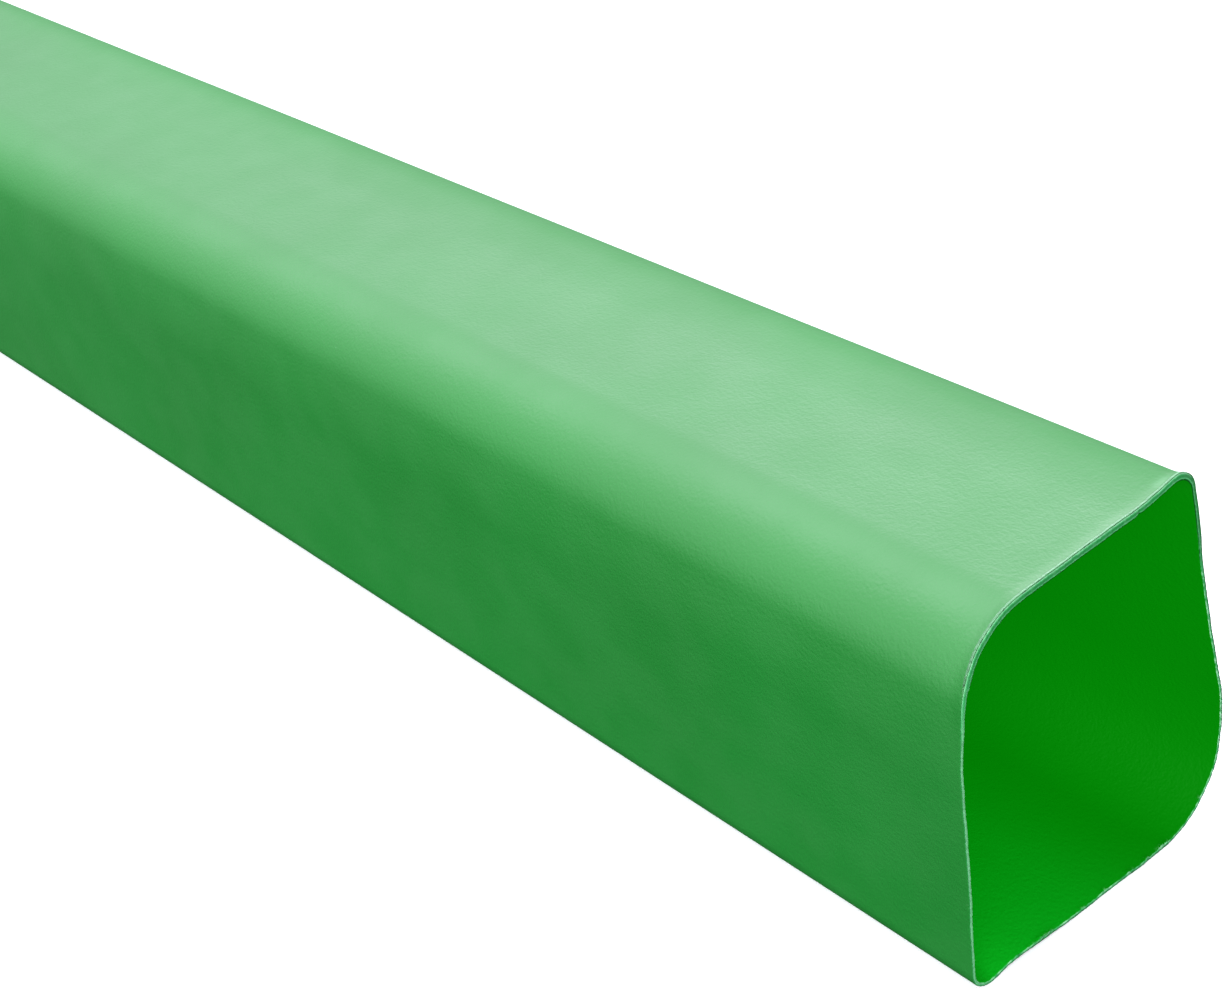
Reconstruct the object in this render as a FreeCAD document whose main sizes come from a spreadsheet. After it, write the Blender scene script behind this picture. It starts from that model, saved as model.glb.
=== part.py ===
"""A cut length of thin-walled heat-shrink sleeve, opened out of its lay-flat fold.

The sleeve is one seamless extruded tube of soft polyolefin. It was stored flat, so it keeps two folded
creases on opposite edges, and the opened section is a four-sided loop: a crease at the top right, a round
corner at the left, a crease at the bottom left and a broad round corner at the right. The wall is flared
a little beside each crease, where the old fold still holds it.

Frame, in millimetres: X across the section, Y along the sleeve, Z up. The origin is on the resting plane,
under the middle of the sleeve. The sleeve rests on its bottom crease and on a flat strip beside the right
corner.
"""

import FreeCAD, Part
import math
import os

import Sketcher

SIZES = [
    # alias, value, meaning
    ("sleeve_length", 500.0, "cut length, along Y"),
    ("wall", 0.65, "wall of the sleeve as supplied, before it is shrunk"),
    ("section_width", 69.0, "across the opened section"),
    ("section_height", 73.0, "from the resting plane to the top crease"),
    ("crease_radius", 5.0, "outside radius of both folded creases"),
    ("crease_rise", 1.1, "how far the top crease stands proud of the top side"),
    ("top_crease_inset", 23.0, "from the rightmost point back to the top crease"),
    ("bottom_crease_inset", 12.0, "from the leftmost point in to the bottom crease"),
    ("left_corner_radius", 13.0, "round corner between the top and left sides"),
    ("left_belly_radius", 90.0, "gentle curve below the left corner"),
    ("right_corner_radius", 13.5, "round corner between the bottom and right sides"),
    ("right_belly_radius", 38.0, "gentle curve above the right corner"),
    ("top_slope", 5.0, "fall of the top side to the left, degrees"),
    ("top_flare_radius", 60.0, "hollow curve from the top side out to the top crease"),
    ("bottom_slope", 3.5, "rise of the bottom side to the left, degrees"),
    ("bottom_flare_radius", 25.0, "hollow curve from the bottom side out to the bottom crease"),
    ("rest_width", 19.0, "flat strip that the sleeve rests on"),
    ("rest_blend_radius", 60.0, "gentle curve from the flat strip into the bottom side"),
]
VALUE = {alias: value for alias, value, meaning in SIZES}
SHEET = "Sizes"
# A sketch numbers an edge's points like this, and calls its own X axis, which starts at the origin, edge -1.
START, END, CENTRE = 1, 2, 3
AXIS = -1


def add_sheet(doc):
    """The driving dimensions, one row each: alias, value and meaning."""
    sheet = doc.addObject("Spreadsheet::Sheet", SHEET)
    for row, (alias, value, meaning) in enumerate(SIZES, start=1):
        sheet.set("A%d" % row, alias)
        sheet.set("B%d" % row, str(value))
        sheet.set("C%d" % row, meaning)
        sheet.setAlias("B%d" % row, alias)
    doc.recompute()


class Arc:
    """A stretch of the section that curves about a centre, from one outward direction to the next."""

    def __init__(self, centre, radius, hollow=False):
        self.centre = centre
        self.radius = radius
        self.hollow = hollow
        self.start = self.end = 0.0

    def point(self, direction, inset=0.0):
        """The point of the arc whose outward normal has this direction, moved in by the inset."""
        reach = -(self.radius + inset) if self.hollow else self.radius - inset
        return (
            self.centre[0] + reach * math.cos(direction),
            self.centre[1] + reach * math.sin(direction),
        )


def direction_between(first, second):
    return math.atan2(second.centre[1] - first.centre[1], second.centre[0] - first.centre[0])


def tangent_normal(first, second):
    """Outward direction of the straight side that leaves one arc and meets the next, anticlockwise."""
    gap = math.dist(first.centre, second.centre)
    lean = math.asin((first.radius - second.radius) / gap)
    return direction_between(first, second) - math.pi / 2 + lean


def offset_along(point, direction):
    return point[0] * math.cos(direction) + point[1] * math.sin(direction)


def flare_arc(crease, side, normal, radius):
    """The hollow arc that touches a crease and the straight side beyond it, which lies at this offset."""
    along = normal + math.pi / 2
    out = side + radius - offset_along(crease.centre, normal)
    forward = math.sqrt((crease.radius + radius) ** 2 - out**2)
    centre = (
        crease.centre[0] + out * math.cos(normal) + forward * math.cos(along),
        crease.centre[1] + out * math.sin(normal) + forward * math.sin(along),
    )
    return Arc(centre, radius, hollow=True)


def unwound(angle, after):
    """The same direction, turned on until it comes after the other one."""
    while angle < after:
        angle += 2 * math.pi
    return angle


def section_arcs(size):
    """The nine arcs of the section by name, anticlockwise from the bottom right corner."""
    edge = size["section_width"] / 2
    crease_radius = size["crease_radius"]
    corner = size["right_corner_radius"]
    right_corner = Arc((edge - corner, corner), corner)
    right_belly = Arc((edge - size["right_belly_radius"], corner), size["right_belly_radius"])
    top_crease = Arc(
        (edge - size["top_crease_inset"], size["section_height"] - crease_radius), crease_radius
    )

    top_normal = math.pi / 2 + math.radians(size["top_slope"])
    top_side = offset_along(top_crease.centre, top_normal) + crease_radius - size["crease_rise"]
    top_flare = flare_arc(top_crease, top_side, top_normal, size["top_flare_radius"])

    left_radius = size["left_corner_radius"]
    left_x = left_radius - edge
    left_z = (top_side - left_radius - left_x * math.cos(top_normal)) / math.sin(top_normal)
    left_corner = Arc((left_x, left_z), left_radius)
    left_belly = Arc((size["left_belly_radius"] - edge, left_z), size["left_belly_radius"])
    bottom_crease = Arc((size["bottom_crease_inset"] - edge, crease_radius), crease_radius)

    blend = size["rest_blend_radius"]
    rest_blend = Arc((edge - corner - size["rest_width"], blend), blend)
    bottom_normal = -math.pi / 2 - math.radians(size["bottom_slope"])
    bottom_side = offset_along(rest_blend.centre, bottom_normal) + blend
    bottom_flare = flare_arc(bottom_crease, bottom_side, bottom_normal, size["bottom_flare_radius"])

    arcs = {
        "right_corner": right_corner,
        "right_belly": right_belly,
        "top_crease": top_crease,
        "top_flare": top_flare,
        "left_corner": left_corner,
        "left_belly": left_belly,
        "bottom_crease": bottom_crease,
        "bottom_flare": bottom_flare,
        "rest_blend": rest_blend,
    }
    ends = [
        0.0,
        tangent_normal(right_belly, top_crease),
        direction_between(top_crease, top_flare),
        top_normal,
        math.pi,
        tangent_normal(left_belly, bottom_crease),
        direction_between(bottom_crease, bottom_flare),
        bottom_normal,
        -math.pi / 2,
    ]
    direction = -math.pi / 2
    for arc, end in zip(arcs.values(), ends):
        arc.start = direction
        # A round arc turns on anticlockwise. A hollow one turns back a little.
        arc.end = unwound(end, direction - math.pi if arc.hollow else direction)
        direction = arc.end
    return arcs


# The section, anticlockwise from the flat strip. A stretch that section_arcs doesn't name is straight.
STRETCHES = [
    "rest_strip",
    "right_corner",
    "right_belly",
    "right_side",
    "top_crease",
    "top_flare",
    "top_side",
    "left_corner",
    "left_belly",
    "left_side",
    "bottom_crease",
    "bottom_flare",
    "bottom_side",
    "rest_blend",
]
FOLLOWING = dict(zip(STRETCHES, STRETCHES[1:] + STRETCHES[:1]))
PRECEDING = {following: name for name, following in FOLLOWING.items()}


def curved_edge(arc, inset):
    """The arc as sketch geometry. It always runs anticlockwise, so a hollow one runs from end to start."""
    radius = arc.radius + inset if arc.hollow else arc.radius - inset
    circle = Part.Circle(FreeCAD.Vector(*arc.centre, 0), FreeCAD.Vector(0, 0, 1), radius)
    if arc.hollow:
        return Part.ArcOfCircle(circle, arc.end + math.pi, arc.start + math.pi)
    return Part.ArcOfCircle(circle, arc.start, arc.end)


def straight_edge(before, after, inset):
    """The straight side from the end of one arc to the start of the next."""
    start = FreeCAD.Vector(*before.point(before.end, inset), 0)
    end = FreeCAD.Vector(*after.point(after.start, inset), 0)
    return Part.LineSegment(start, end)


def draw_loop(sketch, arcs, inset):
    """Draw one closed loop of the section and join its stretches end to end, tangent."""
    index = {}
    for name in STRETCHES:
        if name in arcs:
            edge = curved_edge(arcs[name], inset)
        else:
            edge = straight_edge(arcs[PRECEDING[name]], arcs[FOLLOWING[name]], inset)
        index[name] = sketch.addGeometry(edge, False)

    def hollow(name):
        return name in arcs and arcs[name].hollow

    for name, following in FOLLOWING.items():
        leaving = START if hollow(name) else END
        meeting = END if hollow(following) else START
        sketch.addConstraint(
            Sketcher.Constraint("Tangent", index[name], leaving, index[following], meeting)
        )
    return index


def drive(sketch, name, expression, kind, *where):
    """Add a dimension to the sketch and bind it to the sheet. The last of where is its starting value."""
    number = sketch.addConstraint(Sketcher.Constraint(kind, *where))
    sketch.renameConstraint(number, name)
    sketch.setExpression("Constraints." + name, expression)


def constrain_outside(sketch, outside):
    """Size and place the outer loop from the sheet's values."""
    half_width = VALUE["section_width"] / 2
    radii = {
        "right_corner": "right_corner_radius",
        "right_belly": "right_belly_radius",
        "top_crease": "crease_radius",
        "top_flare": "top_flare_radius",
        "left_corner": "left_corner_radius",
        "left_belly": "left_belly_radius",
        "bottom_crease": "crease_radius",
        "bottom_flare": "bottom_flare_radius",
        "rest_blend": "rest_blend_radius",
    }
    for name, alias in radii.items():
        expression = "%s.%s" % (SHEET, alias)
        drive(sketch, name + "_radius", expression, "Radius", outside[name], VALUE[alias])

    # The flat strip lies on the resting plane.
    sketch.addConstraint(Sketcher.Constraint("PointOnObject", outside["rest_strip"], START, AXIS))
    sketch.addConstraint(Sketcher.Constraint("Horizontal", outside["rest_strip"]))
    drive(
        sketch, "rest_width", SHEET + ".rest_width",
        "Distance", outside["rest_strip"], VALUE["rest_width"],
    )

    # The section is widest where a corner passes into its belly, level with the corner's centre.
    for name in ("right_corner", "left_corner"):
        corner = outside[name]
        sketch.addConstraint(Sketcher.Constraint("Horizontal", corner, END, corner, CENTRE))
    drive(
        sketch, "right_edge", SHEET + ".section_width / 2",
        "DistanceX", AXIS, START, outside["right_corner"], END, half_width,
    )
    drive(
        sketch, "left_edge", SHEET + ".section_width / 2",
        "DistanceX", outside["left_corner"], END, AXIS, START, half_width,
    )

    # Each crease is placed from the edge of the section beside it.
    top = outside["top_crease"]
    bottom = outside["bottom_crease"]
    drive(
        sketch, "top_crease_inset", SHEET + ".top_crease_inset",
        "DistanceX", top, CENTRE, outside["right_corner"], END, VALUE["top_crease_inset"],
    )
    drive(
        sketch, "top_crease_height", "%s.section_height - %s.crease_radius" % (SHEET, SHEET),
        "DistanceY", AXIS, START, top, CENTRE, VALUE["section_height"] - VALUE["crease_radius"],
    )
    drive(
        sketch, "bottom_crease_inset", SHEET + ".bottom_crease_inset",
        "DistanceX", outside["left_corner"], END, bottom, CENTRE, VALUE["bottom_crease_inset"],
    )
    drive(
        sketch, "bottom_crease_height", SHEET + ".crease_radius",
        "DistanceY", AXIS, START, bottom, CENTRE, VALUE["crease_radius"],
    )

    # The sides that slope away from the creases.
    drive(
        sketch, "top_side_depth", "%s.crease_radius - %s.crease_rise" % (SHEET, SHEET),
        "Distance", top, CENTRE, outside["top_side"], VALUE["crease_radius"] - VALUE["crease_rise"],
    )
    drive(
        sketch, "top_side_angle", "180 deg + %s.top_slope * 1 deg" % SHEET,
        "Angle", outside["top_side"], math.radians(180 + VALUE["top_slope"]),
    )
    drive(
        sketch, "bottom_side_angle", "0 deg - %s.bottom_slope * 1 deg" % SHEET,
        "Angle", outside["bottom_side"], -math.radians(VALUE["bottom_slope"]),
    )


def constrain_inside(sketch, arcs, outside, inside):
    """Hold the inner loop at one wall's thickness inside the outer loop: same centres, smaller radii."""
    for name in arcs:
        sketch.addConstraint(
            Sketcher.Constraint("Coincident", inside[name], CENTRE, outside[name], CENTRE)
        )
    # One radius fixes each run of joined arcs, because the next arc has to stay tangent to it.
    sized = {
        "right_corner": "right_corner_radius",
        "top_crease": "crease_radius",
        "left_corner": "left_corner_radius",
        "bottom_crease": "crease_radius",
        "rest_blend": "rest_blend_radius",
    }
    for name, alias in sized.items():
        expression = "%s.%s - %s.wall" % (SHEET, alias, SHEET)
        value = VALUE[alias] - VALUE["wall"]
        drive(sketch, name + "_bore_radius", expression, "Radius", inside[name], value)


def origin_plane(body, role):
    return next(feature for feature in body.Origin.OriginFeatures if feature.Role == role)


def add_sleeve(doc):
    """The sleeve: its section drawn on the XZ plane and padded both ways along Y."""
    body = doc.addObject("PartDesign::Body", "sleeve")
    body.Label = "sleeve"
    section = body.newObject("Sketcher::SketchObject", "section")
    section.AttachmentSupport = (origin_plane(body, "XZ_Plane"), [""])
    section.MapMode = "FlatFace"

    arcs = section_arcs(VALUE)
    outside = draw_loop(section, arcs, 0.0)
    inside = draw_loop(section, arcs, VALUE["wall"])
    constrain_outside(section, outside)
    constrain_inside(section, arcs, outside, inside)
    doc.recompute()

    pad = body.newObject("PartDesign::Pad", "extrusion")
    pad.Profile = section
    pad.SideType = "Symmetric"
    pad.setExpression("Length", SHEET + ".sleeve_length")
    doc.recompute()
    return body


def check(doc, bodies):
    """Stop if any object failed to build, or if a body isn't one closed, valid solid."""
    for item in doc.Objects:
        if "Invalid" in item.State or "Error" in item.State:
            raise RuntimeError("%s did not build: %s" % (item.Label, item.State))
    for body in bodies:
        shape = body.Shape
        if shape.isNull() or not shape.isValid() or len(shape.Solids) != 1:
            raise RuntimeError(body.Label + " isn't one valid solid")


def main():
    doc = FreeCAD.newDocument("heat_shrink_sleeve")
    add_sheet(doc)
    sleeve = add_sleeve(doc)
    check(doc, [sleeve])

    os.makedirs("parts", exist_ok=True)
    sleeve.Shape.exportStep("parts/%s.step" % sleeve.Label)

    box = sleeve.Shape.BoundBox
    cross_section = sleeve.Shape.Volume / VALUE["sleeve_length"]
    middle_loop = cross_section / VALUE["wall"]
    print("box %.2f x %.2f x %.2f mm" % (box.XLength, box.YLength, box.ZLength))
    print("bore when pulled round %.2f mm" % (middle_loop / math.pi - VALUE["wall"]))


main()
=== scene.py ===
"""A cut length of green heat-shrink sleeve, opened out of its lay-flat fold, on a plain studio floor.

The wall is one mesh. Its section is turned arc by arc, drawn out along Y, given its thickness, and then
roughened at both ends by hand cutting. Everything is in metres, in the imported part's frame: X across the
section, Y along the sleeve, Z up from the resting plane.
"""

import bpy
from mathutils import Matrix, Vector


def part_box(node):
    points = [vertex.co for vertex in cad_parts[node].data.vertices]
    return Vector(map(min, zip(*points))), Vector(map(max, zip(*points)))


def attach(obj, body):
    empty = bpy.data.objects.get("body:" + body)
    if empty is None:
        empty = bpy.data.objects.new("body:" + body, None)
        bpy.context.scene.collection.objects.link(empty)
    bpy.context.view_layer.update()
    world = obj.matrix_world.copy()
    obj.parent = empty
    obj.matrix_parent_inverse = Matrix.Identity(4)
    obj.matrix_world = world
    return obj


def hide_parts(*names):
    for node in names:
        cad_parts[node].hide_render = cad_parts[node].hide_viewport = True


bl_info = {
    "name": "Heat-shrink sleeve",
    "version": (1, 0, 0),
    "blender": (4, 5, 0),
    "location": "3D View > Sidebar > Sleeve",
    "description": "Builds a cut length of opened-out heat-shrink sleeve and the studio around it",
    "category": "Add Mesh",
}

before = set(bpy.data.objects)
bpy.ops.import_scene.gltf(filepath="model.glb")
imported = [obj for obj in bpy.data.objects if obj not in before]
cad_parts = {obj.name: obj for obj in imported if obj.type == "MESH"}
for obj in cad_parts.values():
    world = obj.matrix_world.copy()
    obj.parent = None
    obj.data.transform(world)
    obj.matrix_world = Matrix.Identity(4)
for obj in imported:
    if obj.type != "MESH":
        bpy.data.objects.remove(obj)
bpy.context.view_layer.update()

import math

import bmesh
import bpy
from bpy.props import FloatProperty, FloatVectorProperty, PointerProperty
from mathutils import Matrix, Vector, noise

SLEEVE_LOW, SLEEVE_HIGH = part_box("sleeve")

OUTSIDE, INSIDE, CUT = 0, 1, 2
# Values kept on the mesh's points: the share of the way across the wall from the outer surface to the bore,
# how much the plastic is whitened or painted with highlight (or, below nothing, painted with shade), and how
# much the old fold has dulled it.
ACROSS = "across_the_wall"
WHITENING_AND_PAINTED_LIGHT = "whitening_and_painted_light"
FOLD_WEAR = "fold_wear"

# Points closer together than this are the same point.
SAME_PLACE = 1e-6
# The shortest step round the section, as a share of the spacing.
SHORTEST_STEP = 0.05
# A face whose normal has at least this much Y in it is part of a cut end.
FACES_ALONG = 0.9
# The rows of points near a cut end stay this short for a while, and then each is longer than the last.
FINE_ROWS = 7
ROW_GROWTH = 1.3
# New points between the old ones round the rim, and across each cut face.
RIM_CUTS = 4
CUT_FACE_CUTS = 6

# The far lights: azimuth from +Y towards +X and elevation in degrees, brightness, and how tight each one is.
FAR_LIGHTS = (
    (65, 5, 5.9, 6.0),
    (355, 65, 3.0, 6.0),
    (340, 25, 1.1, 6.0),
    (230, 25, 9.6, 12.0),
    (285, 5, 1.1, 6.0),
)

# Where torn plastic stands off the inner edge of each end: X, Z, reach and strength.
FRONT_BURRS = (
    (-0.0105, 0.0008, 0.0017, 1.0),
    (-0.0004, 0.0007, 0.0006, 0.5),
    (0.0054, 0.0007, 0.0008, 0.6),
    (0.0120, 0.0007, 0.0010, 0.6),
    (0.0167, 0.0007, 0.0008, 0.7),
    (0.0212, 0.0007, 0.0014, 0.7),
    (0.0305, 0.0056, 0.0006, 0.6),
    (-0.0322, 0.0597, 0.0011, 0.35),
    (-0.0300, 0.0193, 0.0005, 0.5),
)
REAR_BURRS = (
    (0.0040, 0.0704, 0.0012, 0.6),
    (-0.0338, 0.0450, 0.0009, 0.4),
    (-0.0020, 0.0008, 0.0014, 0.8),
    (0.0330, 0.0200, 0.0010, 0.5),
)
# Small nicks in the cut: X, Z, reach and depth.
FRONT_NICKS = (
    (0.0028, 0.0707, 0.00035, 0.00022),
    (0.0093, 0.0716, 0.00025, 0.00012),
)
REAR_NICKS = ((-0.0120, 0.0697, 0.00030, 0.00020),)

# Where each side begins and is fully reached: the top side in Z, the left side in -X, the bottom side in X.
TOP_SIDE_STARTS = (0.048, 0.064)
LEFT_SIDE_STARTS = (0.020, 0.030)
BOTTOM_SIDE_STARTS = (-0.026, -0.020)
# Height of the middle of the bore.
BORE_MIDDLE = 0.030

# How the soft wall and the knife's path wander. The short wander is half as deep as the long one.
SWAY_WAVELENGTH = 0.055
SWAY_STRETCH = 0.7
SETTLED_HEIGHT = 0.006
LONG_WANDER = 0.020
SHORT_WANDER = 0.006
SHORT_SHARE = 0.5
WANDER_DEPTH = 0.006
CHATTER_WAVELENGTH = 0.0005

# The swollen end of the top side. The inner surface moves back by a fifth of the outer surface's swelling.
SWELL_DEPTH = 0.0013
SWELL_TURN = 1.2
# The outer edge is pressed back over this share of the wall, and the ridge stands at this share.
PRESSED_SHARE = 0.35
RIDGE_AT = 0.72
RIDGE_WIDTH = 0.10
RIDGE_ELSEWHERE = 0.4
# How far the lifted end of the top crease reaches round the section and along the sleeve.
LIFT_REACH = 0.0035
LIFT_DEPTH = 0.0012

# Burrs: how far behind the cut they reach, and from which share of the wall. They are lumps with finer
# crumbs on them, and they lean inwards and a little away from the sleeve.
BURR_DEPTH = 0.0004
BURRS_FROM = 0.3
FAINTEST_BURR = 0.02
BURR_SCALE = 2.0
LUMP_SIZE = 0.00055
LUMP_BASE = 0.10
CRUMB_SIZE = 0.00035
CRUMB_HEIGHT = 0.9
BURR_LEAN = 0.010
BURR_WHITENESS = 2.0
BURR_SPECKLE_SIZE = 0.00045
# The ragged inner edge along the bottom and the right.
RAGGED_FROM = 0.7
RAGGED_DEPTH = 0.0003
RAGGED_SIZE = 0.0007
# How far behind the cut a nick reaches.
NICK_DEPTH = 0.0005

# The lines across the cut face: how far across the wall each one ends, and how white it is. A pale line is
# partly whitened plastic and partly a painted highlight. Below nothing a line is painted shade, darker where
# shade falls by the edges. From the inner third on, the bottom and right sides are speckled too.
TOP_LINES = ((0.20, 0.9), (0.65, -0.50), (0.82, 0.35), (1.01, -1.0))
LEFT_LINES = ((0.20, -0.4), (0.50, 0.6), (0.75, 0.3), (0.95, 0.7), (1.01, -0.8))
BOTTOM_LINES = ((0.40, -1.0), (0.65, 0.0), (1.01, 0.25))
SPECKLES_FROM = 0.65
SPECKLE_SIZE = 0.0008
SPECKLE_WHITENESS = 1.3

# The spot that whitened when the crease was bent: how far it lies left of and below the crease's top and
# behind the cut, how far it reaches round the section and along the sleeve, and how white it is.
BENT_LEFT, BENT_BELOW, BENT_BEHIND = 0.0022, 0.0006, 0.0012
BENT_REACH, BENT_LENGTH = 0.0016, 0.0008
BENT_WHITENESS = 0.15
# The dulled line of the old fold: how far it lies right of and below the crease's top, and its reach.
FOLD_RIGHT, FOLD_BELOW, FOLD_REACH = 0.0030, 0.0012, 0.0036

# The patterns in the plastic. Each size is about the width of one patch of it. Most of a pattern lies within
# the middle range of its noise, and the fine streaks of the cut face show only at its peaks.
MIDDLE_RANGE = (0.3, 0.7)
PATCH_RANGE = (0.35, 0.65)
STREAK_RANGE = (0.45, 0.80)
PATCH_SIZE = 0.045
GRAIN_SIZE = 0.00045
PEEL_SIZE = 0.0009
PEEL_HEIGHT = 1.8
UNEVEN_SIZE = 0.012
UNEVENNESS = 0.03
WORN_ROUGHNESS = 0.95
WORN_FULLY = 0.8
REFRACTIVE_INDEX = 1.6
DUST_PER_METRE = 75.0
DUST_RADII = (0.006, 0.014)
DUST_WHITENESS = 0.5
# Painted light: the bore is painted a lighter colour below a sloping line, standing in for light on its
# bottom. The line's rise along X, and the heights where the painted light is full and where it is gone.
LIT_SLOPE = 0.3
LIT_FULL, LIT_GONE = -0.004, 0.007
STREAK_SIZE = 0.0009
STREAK_HARSHNESS = 0.65
STREAK_WHITENESS = 0.35
CUT_GRAIN_SIZE = 0.0003

# The floor is a little mottled, and the world is just past white to the camera.
MOTTLE_SIZE = 0.4
MOTTLE_SHADE = 0.98
WORLD_WHITE = 1.05
SENSOR_WIDTH = 36.0


# ---------------------------------------------------------------- sizes and colours


def length(name, default, description):
    return FloatProperty(
        name=name, description=description, default=default, unit="LENGTH", subtype="DISTANCE", precision=5
    )


def angle(name, degrees, description):
    return FloatProperty(
        name=name, description=description, default=math.radians(degrees), unit="ROTATION", subtype="ANGLE"
    )


def colour(name, default, description):
    return FloatVectorProperty(
        name=name, description=description, default=default, size=3, min=0.0, max=1.0, subtype="COLOR"
    )


def amount(name, default, description):
    return FloatProperty(name=name, description=description, default=default, min=0.0)


class SleeveSizes(bpy.types.PropertyGroup):
    """The sleeve's section, wall and cut ends."""

    length: length("Length", SLEEVE_HIGH.y - SLEEVE_LOW.y, "Cut length")
    width: length("Width", SLEEVE_HIGH.x - SLEEVE_LOW.x, "Across the opened section")
    height: length("Height", SLEEVE_HIGH.z - SLEEVE_LOW.z, "From the resting plane to the top crease")
    wall: length("Wall", 0.00065, "Thickness of the wall as supplied")
    crease_radius: length("Crease radius", 0.005, "Outside radius of both folded creases")
    crease_rise: length("Crease rise", 0.0011, "How far the top crease stands proud of the top side")
    top_crease_inset: length("Top crease inset", 0.023, "From the rightmost point back to the top crease")
    bottom_crease_inset: length("Bottom crease inset", 0.012, "From the leftmost point to the bottom crease")
    left_corner_radius: length("Left corner", 0.013, "Round corner between the top and left sides")
    left_belly_radius: length("Left belly", 0.090, "Gentle curve below the left corner")
    right_corner_radius: length("Right corner", 0.0135, "Round corner between the bottom and right sides")
    right_belly_radius: length("Right belly", 0.038, "Gentle curve above the right corner")
    top_slope: angle("Top slope", 5.0, "Fall of the top side to the left")
    top_flare_radius: length("Top flare", 0.060, "Hollow curve from the top side out to the top crease")
    bottom_slope: angle("Bottom slope", 3.5, "Rise of the bottom side to the left")
    bottom_flare_radius: length("Bottom flare", 0.025, "Hollow curve out to the bottom crease")
    rest_width: length("Rest width", 0.019, "Flat strip that the sleeve rests on")
    rest_blend_radius: length("Rest blend", 0.060, "Gentle curve from the flat strip into the bottom side")
    spacing: length("Spacing", 0.0010, "Distance between the points round the section")
    first_row: length("First row", 0.00028, "Distance between the rows of points at a cut end")
    last_row: length("Last row", 0.011, "Distance between the rows of points along the middle")
    rim_zone: length("Rim zone", 0.0022, "Length at each end with five times the points")
    edge_radius: length("Edge radius", 0.00008, "Rounding of the two edges of a cut end")
    sway: length("Sway", 0.00009, "How far the soft wall wanders from its true section")
    cut_wander: length("Cut wander", 0.00030, "How far the hand cut wanders along the sleeve")
    cut_chatter: length("Cut chatter", 0.00007, "Fine roughness left on the cut face by the blade")
    edge_lift: length("Edge lift", 0.00010, "How far the top crease turns outwards at the cut")
    pressed_edge: length("Pressed edge", 0.00050, "How far the top side's outer edge was pressed back")
    ridge: length("Ridge", 0.00009, "Height of the ridge that the blade left along the inner edge")
    swell: length("Swell", 0.00045, "How far the top side swells at the cut")
    raggedness: length("Raggedness", 0.00022, "How far the inner edge is torn along the bottom and right")
    burr_height: length("Burr height", 0.00130, "How far the largest burr stands off the inner edge")


class SleeveColours(bpy.types.PropertyGroup):
    """The plastic's colours."""

    skin: colour("Skin", (0.002, 0.228, 0.018), "Plastic of the outer surface")
    skin_deep: colour("Skin, deeper", (0.002, 0.214, 0.016), "Slightly deeper patches of the outer surface")
    bore: colour("Bore", (0.0003, 0.085, 0.0004), "Plastic of the inner surface")
    # Painted light: a lighter bore colour low down, standing in for light on the bottom of the bore.
    bore_painted_light: colour("Bore, low down", (0.0012, 0.250, 0.0100), "Inner surface lit by the floor")
    # Painted light: the bore glows in this colour, standing in for light that comes in through the thin
    # wall.
    bore_painted_glow: colour("Bore glow", (0.0002, 0.158, 0.0006), "Light that comes in through the thin wall")
    cut: colour("Cut face", (0.060, 0.450, 0.130), "Freshly cut plastic")
    # Painted shade: the dark green painted on the cut face's dark lines, where shade falls by its edges.
    shade: colour("Cut shade", (0.0020, 0.085, 0.0060), "The cut face where its edge turns away")
    # Whitened plastic and dust, and also the colour of the painted highlights on the cut face's pale lines.
    stress_and_painted_highlight: colour("Stress", (0.380, 0.780, 0.460), "Plastic whitened by bending or tearing")


class SleeveFinish(bpy.types.PropertyGroup):
    """How rough, glossy and grained the plastic is."""

    skin_roughness: amount("Skin roughness", 0.45, "Roughness of the outer surface")
    skin_gloss: amount("Skin gloss", 1.0, "Specular level of the outer surface")
    skin_grain: length("Skin grain", 0.000026, "Depth of the orange-peel grain outside")
    bore_roughness: amount("Bore roughness", 0.60, "Roughness of the inner surface")
    bore_gloss: amount("Bore gloss", 0.05, "Specular level of the inner surface")
    bore_grain: length("Bore grain", 0.00006, "Depth of the grain inside")
    # Painted light: how strongly the bore glows in place of light coming in through the wall.
    glow: amount("Glow", 1.0, "Strength of the light that comes in through the wall")
    cut_roughness: amount("Cut roughness", 0.50, "Roughness of the cut face")
    cut_unevenness: amount("Cut unevenness", 0.08, "How far that roughness varies along the streaks")
    cut_gloss: amount("Cut gloss", 0.05, "Specular level of the cut face")
    cut_grain: length("Cut grain", 0.00004, "Depth of the knife marks on the cut face")


class StudioSettings(bpy.types.PropertyGroup):
    """The floor, the lights and the camera."""

    floor_size: length("Floor size", 6.0, "Side of the square floor")
    floor: colour("Floor", (0.90, 0.90, 0.90), "Pale studio floor")
    floor_roughness: amount("Floor roughness", 0.9, "Roughness of the floor")
    floor_glow: amount("Floor glow", 0.40, "Light that keeps the floor near white")
    room_light: amount("Room light", 0.02, "Brightness of the dim room")
    light_tint: colour("Light tint", (0.90, 0.94, 1.0), "Colour of the far lights")
    camera_place: FloatVectorProperty(
        name="Camera place",
        description="Where the camera stands",
        default=(-0.2084, -0.3806, 0.2127),
        size=3,
        unit="LENGTH",
        subtype="TRANSLATION",
        precision=5,
    )
    camera_lens: FloatProperty(
        name="Lens", description="Focal length in millimetres", default=58.43, subtype="DISTANCE_CAMERA"
    )
    camera_azimuth: angle("Camera azimuth", 41.07, "Turn of the line of sight from +Y towards +X")
    camera_elevation: angle("Camera elevation", 29.78, "How far the line of sight looks down")
    camera_roll: angle("Camera roll", -2.05, "Turn of the camera about its line of sight")


# ---------------------------------------------------------------- the section


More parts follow.
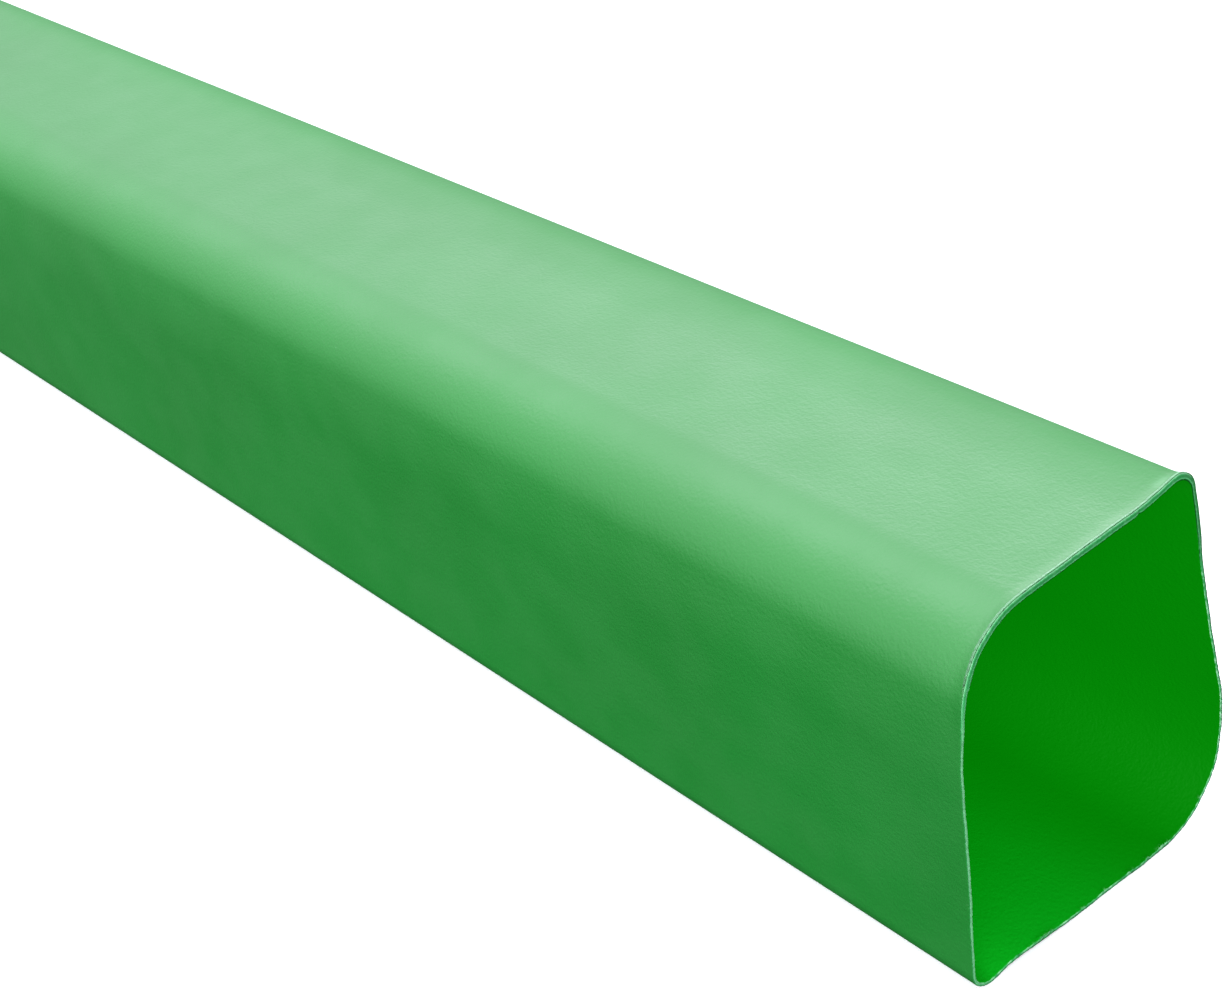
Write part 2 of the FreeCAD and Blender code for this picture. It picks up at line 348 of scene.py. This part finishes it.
class Arc:
    """A stretch of the section that curves about a centre, from one outward direction to the next."""

    def __init__(self, x, z, radius, hollow=False):
        self.centre = Vector((x, z))
        self.radius = radius
        self.hollow = hollow
        self.start = self.end = 0.0

    def point(self, direction):
        """The point of the arc whose outward normal has this direction."""
        reach = -self.radius if self.hollow else self.radius
        return self.centre + reach * facing(direction)


def facing(direction):
    return Vector((math.cos(direction), math.sin(direction)))


def direction_between(first, second):
    gap = second.centre - first.centre
    return math.atan2(gap.y, gap.x)


def tangent_normal(first, second):
    """Outward direction of the straight side that leaves one arc and meets the next, anticlockwise."""
    gap = (second.centre - first.centre).length
    return direction_between(first, second) - math.pi / 2 + math.asin((first.radius - second.radius) / gap)


def flare_arc(crease, side, normal, radius):
    """The hollow arc that touches a crease and the straight side beyond it, at this offset."""
    out = side + radius - crease.centre.dot(facing(normal))
    forward = math.sqrt((crease.radius + radius) ** 2 - out**2)
    centre = crease.centre + out * facing(normal) + forward * facing(normal + math.pi / 2)
    return Arc(*centre, radius, hollow=True)


def section_arcs(size):
    """The nine arcs of the section, anticlockwise from the bottom right corner."""
    edge = size.width / 2
    corner = size.right_corner_radius
    right_corner = Arc(edge - corner, corner, corner)
    right_belly = Arc(edge - size.right_belly_radius, corner, size.right_belly_radius)
    top_crease = Arc(edge - size.top_crease_inset, size.height - size.crease_radius, size.crease_radius)

    top_normal = math.pi / 2 + size.top_slope
    top_side = top_crease.centre.dot(facing(top_normal)) + size.crease_radius - size.crease_rise
    top_flare = flare_arc(top_crease, top_side, top_normal, size.top_flare_radius)

    left_x = size.left_corner_radius - edge
    left_z = (top_side - size.left_corner_radius - left_x * math.cos(top_normal)) / math.sin(top_normal)
    left_corner = Arc(left_x, left_z, size.left_corner_radius)
    left_belly = Arc(size.left_belly_radius - edge, left_z, size.left_belly_radius)
    bottom_crease = Arc(size.bottom_crease_inset - edge, size.crease_radius, size.crease_radius)

    blend = size.rest_blend_radius
    rest_blend = Arc(edge - corner - size.rest_width, blend, blend)
    bottom_normal = -math.pi / 2 - size.bottom_slope
    bottom_side = rest_blend.centre.dot(facing(bottom_normal)) + blend
    bottom_flare = flare_arc(bottom_crease, bottom_side, bottom_normal, size.bottom_flare_radius)

    arcs = [
        (right_corner, 0.0),
        (right_belly, tangent_normal(right_belly, top_crease)),
        (top_crease, direction_between(top_crease, top_flare)),
        (top_flare, top_normal),
        (left_corner, math.pi),
        (left_belly, tangent_normal(left_belly, bottom_crease)),
        (bottom_crease, direction_between(bottom_crease, bottom_flare)),
        (bottom_flare, bottom_normal),
        (rest_blend, -math.pi / 2),
    ]
    direction = -math.pi / 2
    for arc, end in arcs:
        arc.start = direction
        # A round arc turns on anticlockwise. A hollow one turns back a little.
        earliest = direction - math.pi if arc.hollow else direction
        while end < earliest:
            end += 2 * math.pi
        arc.end = direction = end
    return [arc for arc, end in arcs]


# ---------------------------------------------------------------- the wall as drawn


def swept(bm, start, steps, **motion):
    """Carries a point or a line of edges along, leaving geometry behind it, and returns the last copy."""
    swept_part = bmesh.ops.spin(bm, geom=start, steps=steps, use_duplicate=False, **motion)
    return swept_part["geom_last"]


def turn_outline(bm, size):
    """The closed outline of the section at the front end, anticlockwise as seen from the front."""
    arcs = section_arcs(size)
    first = arcs[0].point(arcs[0].start)
    tip = [bm.verts.new((first.x, -size.length / 2, first.y))]
    for arc in arcs:
        here = Vector((tip[0].co.x, tip[0].co.z))
        tip = straight_run(bm, tip, arc.point(arc.start) - here, size.spacing)
        turn = arc.end - arc.start
        steps = max(3, round(abs(turn) * arc.radius / size.spacing))
        centre = (arc.centre.x, -size.length / 2, arc.centre.y)
        tip = swept(bm, tip, steps, cent=centre, axis=(0, -1, 0), angle=turn)
    here = Vector((tip[0].co.x, tip[0].co.z))
    straight_run(bm, tip, first - here, size.spacing)
    bmesh.ops.remove_doubles(bm, verts=bm.verts, dist=size.spacing * SHORTEST_STEP)


def straight_run(bm, tip, run, spacing):
    """Carries the outline's tip along a straight side, if there is one before the next arc."""
    if run.length < spacing * SHORTEST_STEP:
        return tip
    steps = max(1, round(run.length / spacing))
    step = run / steps
    return swept(bm, tip, steps, dvec=(step.x, 0, step.y), axis=(0, 1, 0), angle=0)


def draw_out(bm, size):
    """Draws the outline along Y to the middle, in rows that grow longer, and mirrors it to the other end."""
    front = bm.edges[:]
    travelled = 0.0
    row = size.first_row
    count = 0
    while travelled < size.length / 2 - row:
        front = swept(bm, front, 1, dvec=(0, row, 0), axis=(0, 1, 0), angle=0)
        travelled += row
        count += 1
        if count > FINE_ROWS:
            row = min(row * ROW_GROWTH, size.last_row)
    remaining = size.length / 2 - travelled
    swept(bm, front, 1, dvec=(0, remaining, 0), axis=(0, 1, 0), angle=0)
    bmesh.ops.mirror(bm, geom=bm.verts[:] + bm.edges[:] + bm.faces[:], axis="Y", merge_dist=SAME_PLACE)
    rim = size.length / 2 - size.rim_zone
    round_rim = [e for e in bm.edges if all(abs(v.co.y) > rim for v in e.verts) and runs_round(e)]
    bmesh.ops.subdivide_edges(bm, edges=round_rim, cuts=RIM_CUTS)


def runs_round(edge):
    """True for an edge that runs round the section and not along the sleeve."""
    first, second = edge.verts
    return abs(first.co.y - second.co.y) < SAME_PLACE


def thicken(bm, size):
    """Gives the drawn-out skin its wall, and sorts its faces into outer, inner and cut ones."""
    bmesh.ops.remove_doubles(bm, verts=bm.verts, dist=SAME_PLACE)
    bmesh.ops.recalc_face_normals(bm, faces=bm.faces)
    skin = set(bm.faces)
    bmesh.ops.solidify(bm, geom=bm.faces[:], thickness=size.wall)
    bm.normal_update()
    for layer in (ACROSS, WHITENING_AND_PAINTED_LIGHT, FOLD_WEAR):
        bm.verts.layers.float.new(layer)
    across = bm.verts.layers.float[ACROSS]
    for face in bm.faces:
        face.smooth = True
        if abs(face.normal.y) > FACES_ALONG:
            face.material_index = CUT
        else:
            face.material_index = OUTSIDE if face in skin else INSIDE
        if face.material_index == INSIDE:
            for vert in face.verts:
                vert[across] = 1.0


def dress_cut_ends(bm, size):
    """Divides each cut face across the wall and rounds its outer and inner edges."""
    across = [edge for edge in bm.edges if all(face.material_index == CUT for face in edge.link_faces)]
    bmesh.ops.subdivide_edges(bm, edges=across, cuts=CUT_FACE_CUTS)
    rims = [e for e in bm.edges if len({face.material_index for face in e.link_faces}) == 2]
    bmesh.ops.bevel(
        bm, geom=rims, affect="EDGES", offset=size.edge_radius, segments=2, profile=0.5, material=-1
    )
    bm.normal_update()


# ---------------------------------------------------------------- a soft wall, cut by hand


def fade(distance, reach):
    """One at no distance, falling smoothly to nothing over about three reaches."""
    return math.exp(-((distance / reach) ** 2))


def smooth_step(value, low, high):
    """Nothing below the low value, one above the high one, and a smooth rise between them."""
    share = min(1.0, max(0.0, (value - low) / (high - low)))
    return share * share * (3.0 - 2.0 * share)


def ripple(point, wavelength, seed):
    """Smooth noise between about -1 and 1 that changes over the wavelength."""
    return noise.noise(point / wavelength + Vector((seed, seed * 1.7, -seed)))


def step_value(at, steps):
    """The value of the first step that reaches beyond this place."""
    return next(value for reach, value in steps if at < reach)


class WallPoint:
    """Where a point of the mesh lies in the wall, before it is moved."""

    def __init__(self, vert, size, at):
        self.place = vert.co.copy()
        self.section = Vector((vert.co.x, 0, vert.co.z))
        self.end = -1.0 if vert.co.y < 0 else 1.0
        self.depth = size.length / 2 - abs(vert.co.y)
        self.at = at
        self.on_cut = any(face.material_index == CUT for face in vert.link_faces)
        self.on_top = smooth_step(vert.co.z, *TOP_SIDE_STARTS)
        self.on_left = smooth_step(-vert.co.x, *LEFT_SIDE_STARTS)

    def distance(self, x, z):
        """How far the point is from a place on the section."""
        return math.hypot(self.place.x - x, self.place.z - z)


def sway(point, size):
    """The soft wall wanders a little, and lies flat where it rests."""
    stretched = Vector((point.place.x, point.place.y * SWAY_STRETCH, point.place.z))
    wander = noise.noise_vector(stretched / SWAY_WAVELENGTH)
    settled = min(1.0, point.place.z / SETTLED_HEIGHT)
    return Vector((wander.x, 0, wander.z)) * size.sway * settled


def cut_path(point, size):
    """The knife's path wanders, and its blade leaves the cut face a little rough."""
    wander = ripple(point.section, LONG_WANDER, point.end * 3)
    wander += SHORT_SHARE * ripple(point.section, SHORT_WANDER, point.end * 7)
    shift = size.cut_wander * wander * fade(point.depth, WANDER_DEPTH)
    if point.on_cut:
        shift += size.cut_chatter * ripple(point.section, CHATTER_WAVELENGTH, point.end * 11)
    return Vector((0, shift, 0))


def dragged_edge(point, size):
    """The blade swelled the top side's end, pressed its outer edge back and left a ridge inside it."""
    outwards = facing(math.atan2(point.place.z - BORE_MIDDLE, point.place.x))
    swell = size.swell * point.on_top * fade(point.depth, SWELL_DEPTH) * (1.0 - SWELL_TURN * point.at)
    shift = Vector((outwards.x, 0, outwards.y)) * swell
    if point.on_cut:
        pressed = max(0.0, 1.0 - point.at / PRESSED_SHARE) ** 2
        shift.y -= point.end * size.pressed_edge * point.on_top * pressed
        ridge = fade(point.at - RIDGE_AT, RIDGE_WIDTH)
        ridge *= RIDGE_ELSEWHERE + (1.0 - RIDGE_ELSEWHERE) * point.on_top
        shift.y += point.end * size.ridge * ridge
    return shift


def crease_x(size):
    """How far along X the top crease lies."""
    return size.width / 2 - size.top_crease_inset


def lifted_crease(point, size):
    """The old fold turns the wall outwards at the end of the top crease."""
    lift = fade(point.distance(crease_x(size), size.height), LIFT_REACH) * fade(point.depth, LIFT_DEPTH)
    return Vector((0, 0, size.edge_lift * lift))


def burr_share(point):
    """How much burr stands at this point."""
    burrs = FRONT_BURRS if point.end < 0 else REAR_BURRS
    share = max(strength * fade(point.distance(x, z), reach) for x, z, reach, strength in burrs)
    return share * fade(point.depth, BURR_DEPTH)


def torn_plastic(point, size, burr):
    """Torn plastic stands off the inner edge in small lumps, and the edge is ragged along the bottom."""
    shift = Vector()
    if burr > FAINTEST_BURR and point.at > BURRS_FROM:
        lump = max(0.0, LUMP_BASE + ripple(point.place, LUMP_SIZE, 5))
        lump += CRUMB_HEIGHT * abs(ripple(point.place, CRUMB_SIZE, 9))
        inwards = Vector((-point.place.x, point.end * BURR_LEAN, BORE_MIDDLE - point.place.z)).normalized()
        shift += inwards * BURR_SCALE * size.burr_height * burr * lump * point.at
    if point.at > RAGGED_FROM:
        ragged = (1.0 - point.on_top) * smooth_step(point.place.x, *BOTTOM_SIDE_STARTS)
        ragged *= fade(point.depth, RAGGED_DEPTH)
        shift.z += size.raggedness * ragged * max(0.0, ripple(point.place, RAGGED_SIZE, 21))
    return shift


def nicks(point):
    """Shallow nicks where the knife started and stopped."""
    shift = Vector()
    for x, z, reach, depth in FRONT_NICKS if point.end < 0 else REAR_NICKS:
        shift.y -= point.end * depth * fade(point.distance(x, z), reach) * fade(point.depth, NICK_DEPTH)
    return shift


def rim_whitening_and_painted_light(point):
    """How white the cut face is at this share of the way across the wall: whitened plastic with painted
    highlights, and painted shade below nothing.
    """
    elsewhere = step_value(point.at, BOTTOM_LINES)
    if point.at > SPECKLES_FROM:
        elsewhere += SPECKLE_WHITENESS * ripple(point.place, SPECKLE_SIZE, 17)
    side = step_value(point.at, LEFT_LINES) * point.on_left + elsewhere * (1.0 - point.on_left)
    return step_value(point.at, TOP_LINES) * point.on_top + side * (1.0 - point.on_top)


def bent_whiteness(point, size):
    """The plastic has whitened where it was bent, just behind the cut at the top crease."""
    away = point.distance(crease_x(size) - BENT_LEFT, size.height - BENT_BELOW)
    return BENT_WHITENESS * fade(away, BENT_REACH) * fade(point.depth - BENT_BEHIND, BENT_LENGTH)


def fold_wear(point, size):
    """How much the line of the old fold is dulled here."""
    away = point.distance(crease_x(size) + FOLD_RIGHT, size.height - FOLD_BELOW)
    return fade(away, FOLD_REACH)


def soften(bm, size):
    """Moves the wall off its true shape, and notes on its points what is whitened and worn."""
    across = bm.verts.layers.float[ACROSS]
    whitening_and_painted_light = bm.verts.layers.float[WHITENING_AND_PAINTED_LIGHT]
    wear = bm.verts.layers.float[FOLD_WEAR]
    for vert in bm.verts:
        point = WallPoint(vert, size, vert[across])
        burr = burr_share(point)
        vert.co += sway(point, size) + cut_path(point, size) + dragged_edge(point, size)
        vert.co += lifted_crease(point, size) + torn_plastic(point, size, burr) + nicks(point)
        # Torn plastic is speckled pale; on the cut face, the speckles below nothing are painted shade.
        torn = burr * ripple(point.place, BURR_SPECKLE_SIZE, 13)
        vert[whitening_and_painted_light] = BURR_WHITENESS * torn + bent_whiteness(point, size)
        # The cut face's lines: whitened plastic and painted highlights, and painted shade below nothing.
        if point.on_cut:
            vert[whitening_and_painted_light] += rim_whitening_and_painted_light(point)
        vert[wear] = fold_wear(point, size)


def make_wall_mesh(size):
    """The finished mesh of the wall."""
    bm = bmesh.new()
    turn_outline(bm, size)
    draw_out(bm, size)
    thicken(bm, size)
    dress_cut_ends(bm, size)
    soften(bm, size)
    bm.normal_update()
    mesh = bpy.data.meshes.new("sleeve_wall")
    bm.to_mesh(mesh)
    bm.free()
    return mesh


# ---------------------------------------------------------------- materials


def add(tree, kind, inputs=None, **properties):
    """Adds a node, sets its properties, and sets or joins its inputs, which are named or numbered."""
    node = tree.nodes.new("ShaderNode" + kind)
    for name, value in properties.items():
        setattr(node, name, value)
    for name, value in (inputs or {}).items():
        if isinstance(value, bpy.types.NodeSocket):
            tree.links.new(value, node.inputs[name])
        else:
            node.inputs[name].default_value = value
    return node


def new_material(name):
    material = bpy.data.materials.new(name)
    material.use_nodes = True
    tree = material.node_tree
    return material, tree, tree.nodes["Principled BSDF"]


def noise_at(tree, place, wavelength, detail=2.0, roughness=0.5):
    """Noise whose patches are about this wide, from 0 to 1."""
    inputs = {"Vector": place, "Scale": 1 / wavelength, "Detail": detail, "Roughness": roughness}
    return add(tree, "TexNoise", inputs).outputs["Fac"]


def between(tree, value, low, high, to_low=0.0, to_high=1.0, kind="SMOOTHSTEP"):
    """The value's range from low to high, spread to another range."""
    inputs = {"Value": value, "From Min": low, "From Max": high, "To Min": to_low, "To Max": to_high}
    return add(tree, "MapRange", inputs, interpolation_type=kind).outputs["Result"]


def blend(tree, share, first, second):
    """A colour between two others."""
    node = add(tree, "Mix", {"Factor": share}, data_type="RGBA")
    for socket, value in ((node.inputs[6], first), (node.inputs[7], second)):
        if isinstance(value, bpy.types.NodeSocket):
            tree.links.new(value, socket)
        else:
            socket.default_value = (*value, 1.0)
    return node.outputs[2]


def calculate(tree, operation, *values):
    return add(tree, "Math", dict(enumerate(values)), operation=operation).outputs["Value"]


def patches_between(tree, place, plain, deep):
    """The plastic's colour in broad, faint patches."""
    return blend(tree, between(tree, noise_at(tree, place, PATCH_SIZE, 3.0), *PATCH_RANGE), plain, deep)


def painted_bore_light(tree, place, plain, low):
    """The bore's colour, painted lighter towards the left of the bottom side to stand in for light falling
    there.
    """
    parts = add(tree, "SeparateXYZ", {0: place}).outputs
    height = calculate(tree, "MULTIPLY_ADD", parts["X"], LIT_SLOPE, parts["Z"])
    return blend(tree, between(tree, height, LIT_FULL, LIT_GONE), low, plain)


def plastic_material(name, tint, colours, stress_and_painted_highlight, roughness, gloss, grain_depth):
    """Satin plastic with an orange-peel skin, dust and whitened edges, where the pale line along the top's
    outer edge is partly a painted highlight.
    """
    material, tree, shader = new_material(name)
    place = add(tree, "TexCoord").outputs["Object"]

    base = tint(tree, place, *colours)
    dust_cells = add(tree, "TexVoronoi", {"Vector": place, "Scale": DUST_PER_METRE}, feature="F1")
    dust = between(tree, dust_cells.outputs["Distance"], *DUST_RADII, DUST_WHITENESS, 0.0)
    base = blend(tree, dust, base, stress_and_painted_highlight)
    whitened = add(tree, "Attribute", attribute_name=WHITENING_AND_PAINTED_LIGHT).outputs["Fac"]
    # Whitened plastic, and the painted highlight along the top's outer edge.
    base = blend(tree, whitened, base, stress_and_painted_highlight)
    tree.links.new(base, shader.inputs["Base Color"])

    grain = noise_at(tree, place, GRAIN_SIZE, 1.0)
    peel = noise_at(tree, place, PEEL_SIZE, 1.0)
    height = calculate(tree, "MULTIPLY_ADD", peel, PEEL_HEIGHT, grain)
    bump = add(tree, "Bump", {"Height": height, "Strength": 1.0, "Distance": grain_depth})
    tree.links.new(bump.outputs["Normal"], shader.inputs["Normal"])

    shader.inputs["Specular IOR Level"].default_value = gloss
    shader.inputs["IOR"].default_value = REFRACTIVE_INDEX
    patches = noise_at(tree, place, UNEVEN_SIZE, 3.0)
    uneven = between(tree, patches, *MIDDLE_RANGE, roughness - UNEVENNESS, roughness + UNEVENNESS)
    wear = add(tree, "Attribute", attribute_name=FOLD_WEAR).outputs["Fac"]
    worn = between(tree, wear, 0.0, WORN_FULLY, uneven, WORN_ROUGHNESS, "LINEAR")
    tree.links.new(worn, shader.inputs["Roughness"])
    return material


def cut_material(name, colours, finish):
    """The cut end of the wall: a knife-drawn face, paler than the skin and streaked along the cut, with
    painted highlight on its pale lines and painted shade on its dark ones.
    """
    material, tree, shader = new_material(name)
    place = add(tree, "TexCoord").outputs["Object"]
    streaks = noise_at(tree, place, STREAK_SIZE, 3.0, STREAK_HARSHNESS)
    streaked = between(tree, streaks, *STREAK_RANGE, 0.0, STREAK_WHITENESS)
    whitened = add(tree, "Attribute", attribute_name=WHITENING_AND_PAINTED_LIGHT).outputs["Fac"]
    share = calculate(tree, "MAXIMUM", streaked, whitened)
    # Pale lines: whitened plastic and painted highlight.
    base = blend(tree, share, colours.cut, colours.stress_and_painted_highlight)
    # Painted shade: below nothing, the face is painted toward the shade colour.
    shaded = calculate(tree, "MULTIPLY", whitened, -1.0)
    tree.links.new(blend(tree, shaded, base, colours.shade), shader.inputs["Base Color"])
    marks = noise_at(tree, place, CUT_GRAIN_SIZE, 3.0)
    bump = add(tree, "Bump", {"Height": marks, "Strength": 1.0, "Distance": finish.cut_grain})
    tree.links.new(bump.outputs["Normal"], shader.inputs["Normal"])
    smoothest = finish.cut_roughness - finish.cut_unevenness
    roughest = finish.cut_roughness + finish.cut_unevenness
    tree.links.new(between(tree, streaks, *MIDDLE_RANGE, smoothest, roughest), shader.inputs["Roughness"])
    shader.inputs["Specular IOR Level"].default_value = finish.cut_gloss
    return material


# ---------------------------------------------------------------- operators


class SLEEVE_OT_wall(bpy.types.Operator):
    """Build the sleeve's wall with its two cut ends"""

    bl_idname = "sleeve.wall"
    bl_label = "Sleeve wall"
    bl_options = {"REGISTER", "UNDO"}

    def execute(self, context):
        scene = context.scene
        colours = scene.sleeve_colours
        finish = scene.sleeve_finish
        wall = bpy.data.objects.new("sleeve_wall", make_wall_mesh(scene.sleeve_sizes))
        scene.collection.objects.link(wall)
        skin = plastic_material(
            "sleeve_skin",
            patches_between,
            (colours.skin, colours.skin_deep),
            colours.stress_and_painted_highlight,
            roughness=finish.skin_roughness,
            gloss=finish.skin_gloss,
            grain_depth=finish.skin_grain,
        )
        bore = plastic_material(
            "sleeve_bore",
            painted_bore_light,
            (colours.bore, colours.bore_painted_light),
            colours.stress_and_painted_highlight,
            roughness=finish.bore_roughness,
            gloss=finish.bore_gloss,
            grain_depth=finish.bore_grain,
        )
        # Painted light: the bore glows, standing in for the light that comes in through its thin wall.
        bore_inputs = bore.node_tree.nodes["Principled BSDF"].inputs
        bore_inputs["Emission Color"].default_value = (*colours.bore_painted_glow, 1.0)
        bore_inputs["Emission Strength"].default_value = finish.glow
        for material in (skin, bore, cut_material("sleeve_cut", colours, finish)):
            wall.data.materials.append(material)
        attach(wall, "root")
        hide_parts("sleeve")
        return {"FINISHED"}


def studio_world(scene, studio):
    """White to the camera. To everything else, a dim room with a few broad, soft lights far away."""
    world = bpy.data.worlds.new("studio_world")
    world.use_nodes = True
    tree = world.node_tree
    tree.nodes.clear()
    direction = add(tree, "TexCoord").outputs["Generated"]
    strength = studio.room_light
    for azimuth, elevation, brightness, tightness in FAR_LIGHTS:
        level = math.cos(math.radians(elevation))
        toward = (
            math.sin(math.radians(azimuth)) * level,
            math.cos(math.radians(azimuth)) * level,
            math.sin(math.radians(elevation)),
        )
        facing_light = add(tree, "VectorMath", {0: direction, 1: toward}, operation="DOT_PRODUCT")
        share = calculate(tree, "MAXIMUM", facing_light.outputs["Value"], 0.0)
        falloff = calculate(tree, "POWER", share, tightness)
        strength = calculate(tree, "MULTIPLY_ADD", falloff, brightness, strength)
    grey = add(tree, "Background", {"Color": (*studio.light_tint, 1), "Strength": strength})
    white = add(tree, "Background", {"Color": (1, 1, 1, 1), "Strength": WORLD_WHITE})
    path = add(tree, "LightPath")
    mix = add(tree, "MixShader", {0: path.outputs["Is Camera Ray"]})
    tree.links.new(grey.outputs[0], mix.inputs[1])
    tree.links.new(white.outputs[0], mix.inputs[2])
    output = add(tree, "OutputWorld")
    tree.links.new(mix.outputs[0], output.inputs["Surface"])
    scene.world = world


class SLEEVE_OT_studio(bpy.types.Operator):
    """Build the floor, the lights and the camera"""

    bl_idname = "sleeve.studio"
    bl_label = "Studio"
    bl_options = {"REGISTER", "UNDO"}

    def execute(self, context):
        scene = context.scene
        studio = scene.sleeve_studio
        bm = bmesh.new()
        bmesh.ops.create_grid(bm, x_segments=1, y_segments=1, size=studio.floor_size / 2)
        mesh = bpy.data.meshes.new("studio_floor")
        bm.to_mesh(mesh)
        bm.free()
        floor = bpy.data.objects.new("studio_floor", mesh)
        scene.collection.objects.link(floor)
        material, tree, shader = new_material("studio_floor")
        place = add(tree, "TexCoord").outputs["Object"]
        mottled = [MOTTLE_SHADE * part for part in studio.floor]
        pale = blend(tree, noise_at(tree, place, MOTTLE_SIZE), studio.floor, mottled)
        tree.links.new(pale, shader.inputs["Base Color"])
        shader.inputs["Roughness"].default_value = studio.floor_roughness
        shader.inputs["Emission Color"].default_value = (1, 1, 1, 1)
        shader.inputs["Emission Strength"].default_value = studio.floor_glow
        mesh.materials.append(material)
        floor.visible_glossy = False
        floor.visible_diffuse = False

        studio_world(scene, studio)
        self.place_camera(scene, studio)
        scene.view_settings.view_transform = "Standard"
        return {"FINISHED"}

    def place_camera(self, scene, studio):
        azimuth = studio.camera_azimuth
        elevation = studio.camera_elevation
        level = math.cos(elevation)
        forward = Vector((math.sin(azimuth) * level, math.cos(azimuth) * level, -math.sin(elevation)))
        right = Vector((math.cos(azimuth), -math.sin(azimuth), 0))
        turn = Matrix.Rotation(-studio.camera_roll, 3, forward)
        right = turn @ right
        up = right.cross(forward)
        camera = bpy.data.objects.new("camera", bpy.data.cameras.new("camera"))
        camera.data.lens = studio.camera_lens
        camera.data.sensor_fit = "HORIZONTAL"
        camera.data.sensor_width = SENSOR_WIDTH
        camera.matrix_world = Matrix((right, up, -forward)).transposed().to_4x4()
        camera.location = studio.camera_place
        scene.collection.objects.link(camera)
        scene.camera = camera


class SLEEVE_PT_panel(bpy.types.Panel):
    """Lists the sleeve's pieces in the sidebar"""

    bl_idname = "SLEEVE_PT_panel"
    bl_label = "Heat-shrink sleeve"
    bl_space_type = "VIEW_3D"
    bl_region_type = "UI"
    bl_category = "Sleeve"

    def draw(self, context):
        for operator in OPERATORS:
            self.layout.operator(operator.bl_idname)


PROPERTIES = {
    "sleeve_sizes": SleeveSizes,
    "sleeve_colours": SleeveColours,
    "sleeve_finish": SleeveFinish,
    "sleeve_studio": StudioSettings,
}
OPERATORS = (SLEEVE_OT_wall, SLEEVE_OT_studio)


def register():
    for name, group in PROPERTIES.items():
        bpy.utils.register_class(group)
        setattr(bpy.types.Scene, name, PointerProperty(type=group))
    for operator in OPERATORS:
        bpy.utils.register_class(operator)
    bpy.utils.register_class(SLEEVE_PT_panel)


def unregister():
    bpy.utils.unregister_class(SLEEVE_PT_panel)
    for operator in reversed(OPERATORS):
        bpy.utils.unregister_class(operator)
    for name, group in PROPERTIES.items():
        delattr(bpy.types.Scene, name)
        bpy.utils.unregister_class(group)


def main():
    register()
    bpy.ops.sleeve.wall()
    bpy.ops.sleeve.studio()


if __name__ == "__main__":
    main()
